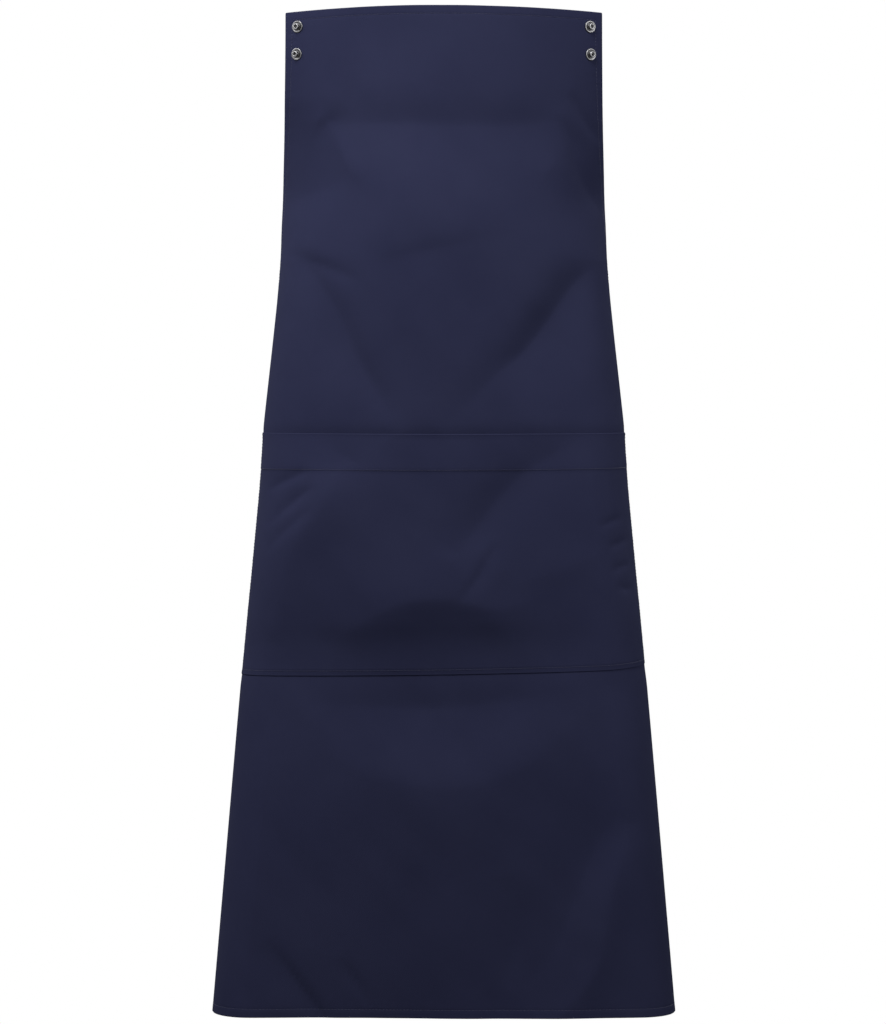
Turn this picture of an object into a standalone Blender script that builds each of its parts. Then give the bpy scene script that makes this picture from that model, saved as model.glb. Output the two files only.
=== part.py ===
"""A full-length bib apron body in woven cloth, lying as it does when worn, with press studs for its straps.

The origin is on the wearer's upright centre line, level with the hem. The front faces -Y and +Z is up.
"""

import math

import bmesh
import bpy
from mathutils import Matrix, Vector

# The cut of the cloth. A drop is measured down from the bib's top edge.
LENGTH = 0.860
FLAT_HALF_WIDTH = 0.360
UNDERARM_DROP = 0.213
WAIST_DROP = 0.280
CLOTH = 0.0006
STITCH_INSET = 0.0065
THREAD = 0.0005

# How the cloth goes round the wearer. A reach is the outline's distance from the centre line.
TOP_REACH = 0.1365
TOP_TURN = math.radians(30)
TOP_FRONT = 0.098
UNDERARM_REACH = 0.1434
UNDERARM_FRONT_RADIUS = 0.230
UNDERARM_SIDE_RADIUS = 0.067
UNDERARM_FRONT = 0.112
UNDERARM_REAR_TURN = math.radians(38)
HEM_REACH = 0.200
HEM_FRONT_RADIUS = 2.2
HEM_SIDE_RADIUS = 0.034
HEM_FRONT = 0.118
HEM_REAR_TURN = math.radians(10)
REAR_RADIUS = 0.070
BIB_EDGE_EASE = 2.2

# The pocket, sewn on at its sides and bottom.
POCKET_DROP = 0.363
POCKET_DEPTH = 0.209
POCKET_BAND = 0.031
POCKET_SEAM = 0.004
POCKET_GAPE = 0.012
POCKET_SAG = 0.004

# The press studs, set through the cloth and a stay behind it.
BIB_STUD_INSET = 0.012
BIB_STUD_DROPS = (0.0125, 0.0360)
WAIST_STUD_DROP = 0.016
WAIST_STUD_INSETS = (0.016, 0.0395)
STUD_RADIUS = 0.0052
STUD_FLANGE = 0.0007
STUD_NUB_RADIUS = 0.0026
STUD_NECK_RADIUS = 0.0022
STUD_HEIGHT = 0.0034
NUB_WAIST_SHARE = 0.35
NUB_WIDEST_SHARE = 0.75
POST_RADIUS = 0.0013
POST_BORE_RADIUS = 0.0008
POST_FLANGE_RADIUS = 0.0050
POST_RECESS = 0.0005
STAY_CLOTH = 0.0005
STAY_DROP = 0.052
STAY_WIDTH = 0.024
ROUND_STEPS = 16

# Neighbouring surfaces keep this clearance.
SEAT = 0.0003

# The main folds, each a soft line from one place to another as (sideways, drop), its half-width and its rise.
FOLDS = (
    ((-0.095, 0.088), (0.100, 0.088), 0.016, -0.003),
    ((-0.128, 0.215), (-0.045, 0.350), 0.020, -0.004),
    ((0.120, 0.220), (0.042, 0.310), 0.020, -0.005),
    ((-0.090, 0.395), (-0.125, 0.450), 0.022, 0.003),
    ((0.058, 0.400), (0.000, 0.458), 0.018, -0.003),
    ((-0.060, 0.640), (-0.085, 0.860), 0.034, -0.004),
    ((0.055, 0.650), (0.078, 0.860), 0.036, -0.004),
    ((-0.005, 0.700), (0.000, 0.860), 0.030, 0.002),
)
# Past this across the folds die out towards the outline.
FOLD_END = 0.9
# Each wing hangs in one long wave, which grows from the waist to this rise at the hem, and starts within
# this share of the wing.
WING_WAVE = 0.007
WING_WAVE_START = 0.33

UNDERARM = LENGTH - UNDERARM_DROP
WAIST = LENGTH - WAIST_DROP
MOUTH = LENGTH - POCKET_DROP
POCKET_BOTTOM = MOUTH - POCKET_DEPTH
SLOPE_STEP = 0.002


def mix(low, high, share):
    return low + (high - low) * share


def smooth(share):
    share = min(max(share, 0.0), 1.0)
    return share * share * (3.0 - 2.0 * share)


def between(guides, label):
    """A place among guide lines: label 1.5 is half-way from guide 1 to guide 2."""
    first = min(int(label), len(guides) - 2)
    return mix(guides[first], guides[first + 1], label - first)


class Section:
    """A level cut through the cloth, from the centre front round one side to its rear edge."""

    def __init__(self, front_radius, front_turn, side_radius, side_turn, rear_turn=0.0):
        self.arcs = ((front_radius, front_turn), (side_radius, side_turn))
        self.wing = FLAT_HALF_WIDTH - front_radius * front_turn - side_radius * side_turn
        self.rear_turn = rear_turn

    def at(self, across):
        """Sideways and backward from the centre front. Across is 1 where the side bend starts, 2 at the
        outline and 3 at the rear edge."""
        sideways = backward = turned = 0.0
        for first, (radius, turn) in enumerate(self.arcs):
            end = turned + turn * min(max(across - first, 0.0), 1.0)
            sideways += radius * (math.sin(end) - math.sin(turned))
            backward += radius * (math.cos(turned) - math.cos(end))
            turned = end
        run = max(across - 2.0, 0.0) * self.wing
        bent = min(run, REAR_RADIUS * self.rear_turn)
        turned = bent / REAR_RADIUS
        sideways -= REAR_RADIUS * (1.0 - math.cos(turned)) + (run - bent) * math.sin(turned)
        backward += REAR_RADIUS * math.sin(turned) + (run - bent) * math.cos(turned)
        return Vector((sideways, backward))


def wrapped(front_radius, side_radius, reach, rear_turn):
    """A section whose front arc and side bend meet smoothly and face square sideways at the reach."""
    front_turn = math.asin((reach - side_radius) / (front_radius - side_radius))
    return Section(front_radius, front_turn, side_radius, math.pi / 2 - front_turn, rear_turn)


TOP_RADIUS = TOP_REACH / math.sin(TOP_TURN)
TOP_SECTION = Section(TOP_RADIUS, TOP_TURN * 3 / 4, TOP_RADIUS, TOP_TURN / 4)
UNDERARM_SECTION = wrapped(UNDERARM_FRONT_RADIUS, UNDERARM_SIDE_RADIUS, UNDERARM_REACH, UNDERARM_REAR_TURN)
HEM_SECTION = wrapped(HEM_FRONT_RADIUS, HEM_SIDE_RADIUS, HEM_REACH, HEM_REAR_TURN)


def skin(across, height):
    """A point of the cloth's outer face before its folds."""
    middle = UNDERARM_SECTION.at(abs(across))
    if height > UNDERARM:
        up = (height - UNDERARM) / UNDERARM_DROP
        end = TOP_SECTION.at(abs(across))
        sideways = mix(end.x, middle.x, max(1.0 - up, 0.0) ** BIB_EDGE_EASE)
        backward = mix(middle.y - UNDERARM_FRONT, end.y - TOP_FRONT, smooth(up))
    else:
        up = height / UNDERARM
        end = HEM_SECTION.at(abs(across))
        sideways = mix(end.x, middle.x, up)
        backward = mix(end.y - HEM_FRONT, middle.y - UNDERARM_FRONT, up)
    return Vector((math.copysign(sideways, across), backward, height))


def outward(across, height):
    """The direction that the cloth's outer face looks in."""
    limit = 2.0 if height > UNDERARM else 3.0
    beside = skin(min(across + SLOPE_STEP, limit), height) - skin(max(across - SLOPE_STEP, -limit), height)
    above = skin(across, min(height + SLOPE_STEP, LENGTH)) - skin(across, max(height - SLOPE_STEP, 0.0))
    return beside.cross(above).normalized()


def fold_rise(across, height):
    """How far the folds lift the cloth, which lies smooth at its outlines."""
    behind = abs(across) - 2.0
    if behind > 0.0:
        wave = WING_WAVE * math.sin(2 * math.pi * behind) * smooth(behind / WING_WAVE_START)
        return wave * (1.0 - smooth(height / WAIST))
    place = Vector((skin(across, height).x, LENGTH - height))
    rise = 0.0
    for start, end, half_width, lift in FOLDS:
        run = Vector(end) - Vector(start)
        share = min(max((place - Vector(start)).dot(run) / run.length_squared, 0.0), 1.0)
        away = (place - Vector(start) - run * share).length
        rise += lift * math.exp(-((away / half_width) ** 2))
    return rise * (1.0 - smooth(abs(across) - FOLD_END))


def lifted(across, height, lift=0.0):
    """A point this far outside the folded cloth."""
    return skin(across, height) + outward(across, height) * (lift + fold_rise(across, height))


def stretch_length(height, start, end, steps=12):
    """The cloth's length at a height, from one across to another."""
    points = [skin(mix(start, end, number / steps), height) for number in range(steps + 1)]
    return sum((b - a).length for a, b in zip(points, points[1:]))


def from_outline(distance, height):
    """The across that lies this far in front of the outline, or of the bib's edge above it."""
    return 2.0 - distance / stretch_length(height, 1.0, 2.0)


def from_rear(distance, height):
    """The across that lies this far in front of a wing's rear edge."""
    return 3.0 - distance / stretch_length(height, 2.0, 3.0)


def even(start, end, count):
    """Count labels after start, up to and including end."""
    return [mix(start, end, (number + 1) / count) for number in range(count)]


def two_sided(labels):
    """Labels from the centre outwards, repeated on the other side."""
    return [-label for label in reversed(labels[1:])] + labels


def armhole(across, inset=0.0):
    """The height of a wing's upper edge, a quarter ellipse, or of a line this far inside it."""
    wing = UNDERARM_SECTION.wing
    share = (3.0 - abs(across)) * wing / (wing + inset)
    return UNDERARM - (UNDERARM - WAIST + inset) * math.sqrt(max(1.0 - share * share, 0.0))


for old in list(bpy.data.objects):
    bpy.data.objects.remove(old, do_unlink=True)

parts = bpy.data.collections.new("bib_apron")
cutters = bpy.data.collections.new("stud_hole_cutters")
for collection in (parts, cutters):
    bpy.context.scene.collection.children.link(collection)


def finish(name, colour, roughness, metallic=0.0):
    material = bpy.data.materials.new(name)
    material.use_nodes = True
    shader = material.node_tree.nodes["Principled BSDF"]
    shader.inputs["Base Color"].default_value = (*colour, 1.0)
    shader.inputs["Roughness"].default_value = roughness
    shader.inputs["Metallic"].default_value = metallic
    return material


twill = finish("navy_twill", (0.026, 0.028, 0.058), 0.85)
lining = finish("navy_stay_cloth", (0.022, 0.024, 0.050), 0.9)
cotton = finish("navy_thread", (0.018, 0.019, 0.042), 0.7)
nickel = finish("nickel", (0.56, 0.56, 0.58), 0.32, 1.0)


def add(name, data, material, carrier=None):
    """A named piece, carried by an empty on its hinge if it has one."""
    piece = bpy.data.objects.new(name, data)
    data.materials.append(material)
    parts.objects.link(piece)
    if carrier:
        piece.parent = carrier
        piece.matrix_parent_inverse = carrier.matrix_basis.inverted()
    return piece


def hinge(name, start, end):
    """An empty on a hinge line, with its Z along the line."""
    empty = bpy.data.objects.new(name, None)
    turned = (end - start).to_track_quat("Z", "Y").to_matrix().to_4x4()
    empty.matrix_basis = Matrix.Translation(start) @ turned
    empty.empty_display_size = STAY_DROP
    parts.objects.link(empty)
    return empty


def sheet(name, columns, rows, place, thickness, material, carrier=None, cutter=None):
    """A cloth piece: a grid laid by place(column, row) on its outer face and thickened inwards."""
    grid = bmesh.new()
    across, up = len(columns) - 1, len(rows) - 1
    bmesh.ops.create_grid(grid, x_segments=across, y_segments=up, size=1.0)
    for vertex in grid.verts:
        column = columns[round((vertex.co.x + 1.0) / 2.0 * across)]
        row = rows[round((vertex.co.y + 1.0) / 2.0 * up)]
        vertex.co = place(column, row)
    mesh = bpy.data.meshes.new(name)
    grid.to_mesh(mesh)
    grid.free()
    mesh.shade_smooth()
    piece = add(name, mesh, material, carrier)
    solidify = piece.modifiers.new("thickness", "SOLIDIFY")
    solidify.thickness = thickness
    solidify.offset = -1.0
    if cutter:
        piece.modifiers.new("flat_faces", "TRIANGULATE")
        holes = piece.modifiers.new("stud_holes", "BOOLEAN")
        holes.object = cutter
    return piece


def stitching(name, points, carrier=None):
    """A row of stitches as one thread lying on the cloth."""
    curve = bpy.data.curves.new(name, "CURVE")
    curve.dimensions = "3D"
    curve.bevel_depth = THREAD / 2
    curve.bevel_resolution = 1
    curve.use_fill_caps = True
    line = curve.splines.new("POLY")
    line.points.add(len(points) - 1)
    for spot, point in zip(line.points, points):
        spot.co = (*point, 1.0)
    return add(name, curve, cotton, carrier)


def turned(name, profile, frame, material, carrier=None):
    """A closed profile of (radius, height) pairs, down its outer side first, turned about a frame's Z."""
    outline = bmesh.new()
    corners = [outline.verts.new((radius, 0.0, height)) for radius, height in profile]
    for first, second in zip(corners, corners[1:] + corners[:1]):
        outline.edges.new((first, second))
    mesh = bpy.data.meshes.new(name)
    outline.to_mesh(mesh)
    outline.free()
    piece = add(name, mesh, material, carrier)
    piece.matrix_basis = frame
    screw = piece.modifiers.new("turned", "SCREW")
    screw.steps = screw.render_steps = ROUND_STEPS
    screw.use_merge_vertices = True
    screw.merge_threshold = 0.00001
    screw.use_smooth_shade = False
    return piece


def seat_frame(across, height):
    """A frame on the cloth's outer face, with Z outward and X level."""
    normal = outward(across, height)
    level = Vector((0.0, 0.0, 1.0)).cross(normal).normalized()
    axes = Matrix((level, normal.cross(level), normal)).transposed().to_4x4()
    return Matrix.Translation(lifted(across, height)) @ axes


STUD_TOP = SEAT + STUD_HEIGHT
HOLE_RADIUS = POST_RADIUS + SEAT
POST_SEAT = -(CLOTH + SEAT + STAY_CLOTH + SEAT)


def press_stud(name, frame, carrier=None):
    """A stud on the cloth's face and its flanged post, which comes through from behind and fills its bore."""
    flange_top = SEAT + STUD_FLANGE
    nub_waist = mix(flange_top, STUD_TOP, NUB_WAIST_SHARE)
    nub_widest = mix(flange_top, STUD_TOP, NUB_WIDEST_SHARE)
    stud = (
        (HOLE_RADIUS, STUD_TOP),
        (STUD_NECK_RADIUS, STUD_TOP),
        (STUD_NUB_RADIUS, nub_widest),
        (STUD_NECK_RADIUS, nub_waist),
        (STUD_NECK_RADIUS + STUD_FLANGE / 2, flange_top),
        (STUD_RADIUS - STUD_FLANGE / 2, flange_top),
        (STUD_RADIUS, SEAT + STUD_FLANGE / 2),
        (STUD_RADIUS - STUD_FLANGE / 2, SEAT),
        (HOLE_RADIUS, SEAT),
    )
    post_top = STUD_TOP - POST_RECESS
    post = (
        (POST_BORE_RADIUS, post_top),
        (POST_RADIUS, post_top),
        (POST_RADIUS, POST_SEAT),
        (POST_FLANGE_RADIUS, POST_SEAT),
        (POST_FLANGE_RADIUS - STUD_FLANGE / 2, POST_SEAT - STUD_FLANGE),
        (POST_BORE_RADIUS, POST_SEAT - STUD_FLANGE),
    )
    turned(name, stud, frame, nickel, carrier)
    turned(name + "_post", post, frame, nickel, carrier)


def hole_cutter(name, frames):
    """Round cutters for the posts' holes in one panel, as one guide object."""
    holes = bmesh.new()
    deep = 4.0 * -POST_SEAT
    for frame in frames:
        bmesh.ops.create_cone(
            holes,
            cap_ends=True,
            segments=ROUND_STEPS,
            radius1=HOLE_RADIUS,
            radius2=HOLE_RADIUS,
            depth=deep,
            matrix=frame,
        )
    mesh = bpy.data.meshes.new(name)
    holes.to_mesh(mesh)
    holes.free()
    guide = bpy.data.objects.new(name, mesh)
    guide.hide_render = True
    guide.display_type = "WIRE"
    cutters.objects.link(guide)
    return guide


# The front panel: the bib and the skirt's front in one cloth, between the two side outlines.
FRONT_CELLS = 6
SIDE_CELLS = 4
SKIRT_CELLS = 7
POCKET_CELLS = 4
CHEST_CELLS = 4
STAY_CELLS = 3
COLUMNS = two_sided([0.0] + even(0.0, 1.0, FRONT_CELLS) + even(1.0, 2.0, SIDE_CELLS) + [3.0])
BIB_STITCH_TOP = LENGTH - STITCH_INSET
STAY_FOOT = LENGTH - STAY_DROP
ROWS = (
    [0.0, STITCH_INSET]
    + even(STITCH_INSET, POCKET_BOTTOM, SKIRT_CELLS)
    + [POCKET_BOTTOM + POCKET_SEAM]
    + even(POCKET_BOTTOM + POCKET_SEAM, MOUTH - POCKET_BAND, POCKET_CELLS)
    + [MOUTH]
    + even(MOUTH, UNDERARM, CHEST_CELLS)
    + even(UNDERARM, STAY_FOOT, CHEST_CELLS)
    + even(STAY_FOOT, BIB_STITCH_TOP, STAY_CELLS)
    + [LENGTH]
)


def front_across(column, height):
    """Column 1 is where the side bend starts, 2 the stitch line and 3 the panel's edge."""
    guides = (0.0, 1.0, from_outline(STITCH_INSET, height), from_outline(SEAT / 2, height))
    return math.copysign(between(guides, abs(column)), column)


def front_place(column, row, lift=0.0):
    return lifted(front_across(column, row), row, lift)


bib_stud_frames = {}
for side, side_name in ((-1, "left"), (1, "right")):
    for level, drop in zip(("upper", "lower"), BIB_STUD_DROPS):
        spot = side * from_outline(BIB_STUD_INSET, LENGTH - drop)
        bib_stud_frames[f"{side_name}_{level}_bib_stud"] = seat_frame(spot, LENGTH - drop)
bib_holes = hole_cutter("bib_stud_holes", bib_stud_frames.values())
sheet("front_panel", COLUMNS, ROWS, front_place, CLOTH, twill, cutter=bib_holes)

# The bib's stays: patches fused inside its corners, from the stitch lines inwards.
stay_rows = [row for row in ROWS if STAY_FOOT <= row <= BIB_STITCH_TOP]


def bib_stay_place(column, row):
    """Column 0 is the stay's inner edge and 1 the stitch line."""
    inner = from_outline(STITCH_INSET + STAY_WIDTH, row)
    spot = mix(inner, from_outline(STITCH_INSET, row), abs(column))
    return lifted(math.copysign(spot, column), row, -(CLOTH + SEAT))


for side, side_name in ((-1, "left"), (1, "right")):
    stay_columns = [side * label for label in ((0.0, 0.5, 1.0) if side > 0 else (1.0, 0.5, 0.0))]
    sheet(f"{side_name}_bib_stay", stay_columns, stay_rows, bib_stay_place, STAY_CLOTH, lining, cutter=bib_holes)

for name, frame in bib_stud_frames.items():
    press_stud(name, frame)

# The front panel's hem threads, which stop just short of the side outlines.
THREAD_LIFT = SEAT + THREAD / 2
THREAD_END = STITCH_INSET / 4
stitch_end = armhole(2.0, STITCH_INSET)
bib_rows = [row for row in ROWS if UNDERARM <= row <= BIB_STITCH_TOP]
bib_columns = [column for column in COLUMNS if abs(column) <= 2.0]


def bib_edge_thread(side):
    """From the outline below the underarm up to the bib's corner."""
    foot = lifted(side * from_outline(THREAD_END, stitch_end), stitch_end, THREAD_LIFT)
    return [foot] + [front_place(side * 2.0, row, THREAD_LIFT) for row in bib_rows]


across_top = [front_place(column, BIB_STITCH_TOP, THREAD_LIFT) for column in bib_columns[1:-1]]
stitching("bib_stitching", bib_edge_thread(-1) + across_top + bib_edge_thread(1)[::-1])


def bottom_thread_place(column):
    if abs(column) < 3.0:
        return front_place(column, STITCH_INSET, THREAD_LIFT)
    spot = math.copysign(from_outline(THREAD_END, STITCH_INSET), column)
    return lifted(spot, STITCH_INSET, THREAD_LIFT)


stitching("bottom_stitching", [bottom_thread_place(column) for column in COLUMNS])

# The pocket: its edges follow the front panel's columns, and its mouth stands open a little.
SEAM_COLUMN = 1.9
POCKET_COLUMNS = two_sided(
    [0.0] + even(0.0, 1.0, FRONT_CELLS) + even(1.0, 2.0, SIDE_CELLS)[:-1] + [SEAM_COLUMN, 2.0]
)
POCKET_ROWS = [row for row in ROWS if POCKET_BOTTOM <= row <= MOUTH]
POCKET_LIFT = CLOTH + SEAT


def pocket_place(column, row, lift=0.0):
    """The pocket's outer face. The mouth sags in the middle and gapes away from the front panel."""
    spot = front_across(column, row)
    if abs(column) == SEAM_COLUMN:
        spot = math.copysign(from_outline(STITCH_INSET + POCKET_SEAM, row), column)
    middle = 1.0 - (spot / front_across(2.0, row)) ** 2
    up = (row - POCKET_BOTTOM) / POCKET_DEPTH
    gape = POCKET_GAPE * math.sin(up * math.pi / 2) * middle**2
    return lifted(spot, row - POCKET_SAG * up * middle, POCKET_LIFT + gape + lift)


pocket_foot = Vector((0.0, skin(0.0, POCKET_BOTTOM).y, POCKET_BOTTOM))
pocket_hinge = hinge("pocket_hinge", pocket_foot, pocket_foot + Vector((1.0, 0.0, 0.0)))
sheet("pocket_panel", POCKET_COLUMNS, POCKET_ROWS, pocket_place, CLOTH, twill, pocket_hinge)

band_row = MOUTH - POCKET_BAND
mouth_points = [pocket_place(column, band_row, THREAD_LIFT) for column in POCKET_COLUMNS[2:-2]]
stitching("pocket_mouth_stitching", mouth_points, pocket_hinge)

seam_row = POCKET_BOTTOM + POCKET_SEAM
seam_rows = [row for row in POCKET_ROWS if row >= seam_row]
seam_left = [pocket_place(-SEAM_COLUMN, row, THREAD_LIFT) for row in reversed(seam_rows)]
seam_foot = [pocket_place(column, seam_row, THREAD_LIFT) for column in POCKET_COLUMNS[2:-2]]
seam_right = [pocket_place(SEAM_COLUMN, row, THREAD_LIFT) for row in seam_rows]
stitching("pocket_seam_stitching", seam_left + seam_foot + seam_right, pocket_hinge)

# The wings: the cloth behind each outline, which goes round the wearer's side and carries the waist studs.
WING_CELLS = 4
WING_ROW_CELLS = 8
WING_COLUMNS = [0.0] + even(0.0, 1.0, WING_CELLS) + even(1.0, 2.0, STAY_CELLS) + [3.0]
WING_ROWS = [0.0, 1.0] + even(1.0, 2.0, WING_ROW_CELLS) + even(2.0, 3.0, STAY_CELLS) + [4.0]


def wing_across(column, height):
    """Column 1 is the stay's front edge, 2 the rear stitch line and 3 the rear edge."""
    guides = (
        2.0 + SEAT / 2 / stretch_length(height, 2.0, 3.0),
        from_rear(STITCH_INSET + STAY_DROP, height),
        from_rear(STITCH_INSET, height),
        3.0,
    )
    return math.copysign(between(guides, abs(column)), column)


def wing_height(across, row):
    """Row 1 is the bottom stitch line, 2 the stay's lower edge, 3 the upper stitch line and 4 the upper edge."""
    stitch = armhole(across, STITCH_INSET)
    return between((0.0, STITCH_INSET, stitch - STAY_WIDTH, stitch, armhole(across)), row)


def wing_place(column, row, lift=0.0):
    guess = wing_across(column, WAIST * min(row / 3.0, 1.0))
    height = wing_height(guess, row)
    return lifted(wing_across(column, height), height, lift)


def waist_stay_place(column, row):
    return wing_place(column, row, -(CLOTH + SEAT))


def wing_thread(side):
    """Along the upper edge, down the rear edge and back along the bottom."""
    start = side * (2.0 + THREAD_END / UNDERARM_SECTION.wing)
    top = [lifted(start, wing_height(start, 3.0), THREAD_LIFT)]
    top += [wing_place(side * column, 3.0, THREAD_LIFT) for column in WING_COLUMNS[1:-1]]
    rear = [wing_place(side * 2.0, row, THREAD_LIFT) for row in reversed(WING_ROWS[1:-2])]
    foot = [wing_place(side * column, 1.0, THREAD_LIFT) for column in reversed(WING_COLUMNS[1:-2])]
    return top + rear + foot


for side, side_name in ((-1, "left"), (1, "right")):
    wing_hinge = hinge(f"{side_name}_wing_hinge", skin(side * 2.0, 0.0), skin(side * 2.0, UNDERARM))
    waist_frames = {}
    for place_name, inset in zip(("rear", "front"), WAIST_STUD_INSETS):
        spot = side * from_rear(inset, WAIST)
        height = armhole(spot) - WAIST_STUD_DROP
        waist_frames[f"{side_name}_{place_name}_waist_stud"] = seat_frame(spot, height)
    waist_holes = hole_cutter(f"{side_name}_waist_stud_holes", waist_frames.values())
    wing_columns = [side * column for column in WING_COLUMNS][::side]
    sheet(f"{side_name}_wing", wing_columns, WING_ROWS, wing_place, CLOTH, twill, wing_hinge, waist_holes)
    stay_columns = [column for column in wing_columns if 1.0 <= abs(column) <= 2.0]
    stay_rows = [row for row in WING_ROWS if 2.0 <= row <= 3.0]
    stay_name = f"{side_name}_waist_stay"
    sheet(stay_name, stay_columns, stay_rows, waist_stay_place, STAY_CLOTH, lining, wing_hinge, waist_holes)
    for name, frame in waist_frames.items():
        press_stud(name, frame, wing_hinge)
    stitching(f"{side_name}_wing_stitching", wing_thread(side), wing_hinge)
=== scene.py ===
"""A full-length bib apron body in navy twill, hung as it is worn, with its pocket, studs and stitching.

Lengths are in metres in the part's own frame: the front faces -Y, +Z is up and the hem is at height 0.
"""

import math

import bpy
import numpy as np
from mathutils import Matrix, Vector


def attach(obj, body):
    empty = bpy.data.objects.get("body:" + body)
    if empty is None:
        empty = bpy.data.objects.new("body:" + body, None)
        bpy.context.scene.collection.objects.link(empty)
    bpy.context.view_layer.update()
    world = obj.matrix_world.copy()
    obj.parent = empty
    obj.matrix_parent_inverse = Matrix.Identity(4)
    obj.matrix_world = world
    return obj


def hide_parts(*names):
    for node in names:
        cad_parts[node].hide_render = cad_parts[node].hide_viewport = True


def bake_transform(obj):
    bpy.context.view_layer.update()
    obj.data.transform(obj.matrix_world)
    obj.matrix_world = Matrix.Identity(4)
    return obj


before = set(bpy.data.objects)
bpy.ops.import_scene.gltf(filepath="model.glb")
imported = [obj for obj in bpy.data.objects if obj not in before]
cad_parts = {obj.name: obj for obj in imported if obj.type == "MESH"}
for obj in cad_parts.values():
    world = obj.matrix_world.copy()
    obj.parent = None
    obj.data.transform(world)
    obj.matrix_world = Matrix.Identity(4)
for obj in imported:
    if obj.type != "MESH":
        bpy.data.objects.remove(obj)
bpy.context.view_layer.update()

# Front panel: the bib and the skirt's front in one navy twill cloth, which lies round the wearer from one
# side line to the other. Its top, its bib edges and its bottom are turned in twice and sewn down.
LENGTH = 0.860
FLAT_HALF_WIDTH = 0.360
UNDERARM = 0.647
WAIST = 0.580
TOP_REACH, TOP_TURN, TOP_FRONT = 0.1365, math.radians(30), 0.098
UNDERARM_REACH, UNDERARM_FRONT, UNDERARM_REAR_TURN = 0.1434, 0.112, math.radians(38)
UNDERARM_FRONT_RADIUS, UNDERARM_SIDE_RADIUS = 0.230, 0.067
HEM_REACH, HEM_FRONT, HEM_REAR_TURN = 0.200, 0.118, math.radians(10)
HEM_FRONT_RADIUS, HEM_SIDE_RADIUS = 2.2, 0.034
REAR_RADIUS = 0.070
# How the bib's edges curve from the underarm to the top.
BIB_EDGE_EASE = 2.2

CLOTH = 0.00055
HEM_LAYERS = 0.0014
HEM_WIDTH = 0.0075
HEM_STEP = 0.0005
STITCH_INSET = 0.0065
STITCH_DIP = 0.00012
STITCH_DIP_WIDTH = 0.0011
HEM_PUFF = 0.00008
PUCKER = 0.00007
PUCKER_PITCH = 0.0088
PUCKER_REACH = 0.006
# Puckers aren't even: they drift by a share of their pitch, over so many of them.
PUCKER_DRIFT, PUCKER_DRIFT_RUN = 0.3, 5.3
# Steps over which slopes are measured.
ACROSS_STEP = 0.002
HEIGHT_STEP = 0.0002

# The folds in millimetres. Each is a line of places (sideways, drop, rise) on the front, with drops from the
# bib's top edge, and how far its slopes reach to the left and the right of someone who walks along it.
MM = 0.001
FOLDS = (
    # Across the bib: a level crease, the swelling left of it, the dent below that and the dent's inner edge.
    (((-106, 92, 0), (-84, 99, -4.2), (0, 102, -4.8), (72, 101, -4), (106, 92, 0)), 23, 66),
    (((-140, 74, 4), (-112, 76, 3), (-80, 78, 0)), 62, 24),
    (((-150, 166, -5), (-120, 158, -4.4), (-96, 150, -2.4), (-74, 145, 0)), 40, 20),
    (((-100, 92, 0), (-92, 112, 1.4), (-84, 132, 1.4), (-76, 150, 0)), 16, 6),
    # The dent at the bib's right edge, and two drawn creases in it.
    (((150, 174, -8), (128, 164, -6.6), (112, 152, -3.4), (92, 138, 0)), 36, 68),
    (
        ((100, 90, 0), (109, 112, -2.4), (114, 132, -3.2), (120, 146, -3.2))
        + ((127, 158, -2.8), (140, 174, 0)),
        12,
        5,
    ),
    (((109, 68, 0), (115, 82, -2), (121, 93, -2.6), (129, 103, -2), (140, 112, 0)), 10, 5),
    # Drag lines from the left underarm, a deep one from the right, and a slack one between them.
    (((-140, 207, 0), (-126, 211, -2.0), (-110, 218, -2.2), (-90, 227, -1.5), (-66, 238, 0)), 7, 12),
    (((-136, 207, 0), (-112, 229, -2.8), (-92, 259, -3.5), (-71, 305, -3.7), (-36, 366, 0)), 10, 45),
    (
        ((144, 217, 0), (126, 224, -4.6), (110, 238, -8.6), (90, 267, -9.8))
        + ((68, 296, -8), (42, 319, -3.4), (-2, 364, 0)),
        60,
        17,
    ),
    (((-66, 224, 0), (-30, 214, -0.9), (20, 204, -0.9), (66, 198, 0)), 10, 36),
    # Behind the pocket: drawn in at its mouth, and full at its lower right.
    (((-170, 366, -1.4), (-80, 368, -1.4), (0, 370, -1.4), (80, 368, -1.4), (170, 366, -1.4)), 7, 30),
    (((60, 590, 0), (95, 578, 3.2), (130, 566, 3.2), (165, 556, 0)), 50, 50),
    # Under the pocket: drawn in along its seam, and a wide swag that hangs from its ends.
    (((-125, 592, 0), (-70, 597, -1.6), (0, 598, -2.1), (60, 592, -1.5), (105, 582, 0)), 17, 34),
    (
        ((-150, 612, 0), (-97, 640, 3), (-37, 662, 6), (22, 664, 6.8))
        + ((73, 645, 6.4), (111, 612, 4), (142, 580, 0)),
        52,
        110,
    ),
    # The skirt's lower right: a flute with a hollow on each side.
    (
        ((148, 684, 0), (128, 716, -1.8), (114, 750, -2.1), (100, 785, -1.8))
        + ((84, 815, -1.2), (60, 840, 0)),
        16,
        34,
    ),
    (
        ((160, 698, 0), (152, 726, 3), (143, 755, 4.2), (138, 785, 4.4))
        + ((132, 815, 3.8), (116, 842, 2.8), (92, 866, 1.6), (70, 884, 0.8)),
        28,
        19,
    ),
    (((50, 740, 0), (62, 785, -1.6), (50, 830, -2), (36, 890, -1.2)), 22, 34),
    # The skirt's lower left: two creases, and the hem drawn in below them.
    (((-150, 795, 0), (-130, 823, -1.8), (-110, 850, -1.8), (-96, 872, 0)), 6, 16),
    (((-88, 808, 0), (-76, 828, -1.3), (-62, 852, 0)), 6, 12),
    (((-164, 864, 0), (-112, 872, -3.6), (-40, 874, -3.6), (20, 876, 0)), 55, 34),
)
# How sharp a fold's ridge is, and how many points its line gets from one place to the next.
FOLD_SHARPNESS, FOLD_SAMPLES = 1.5, 6
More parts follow.
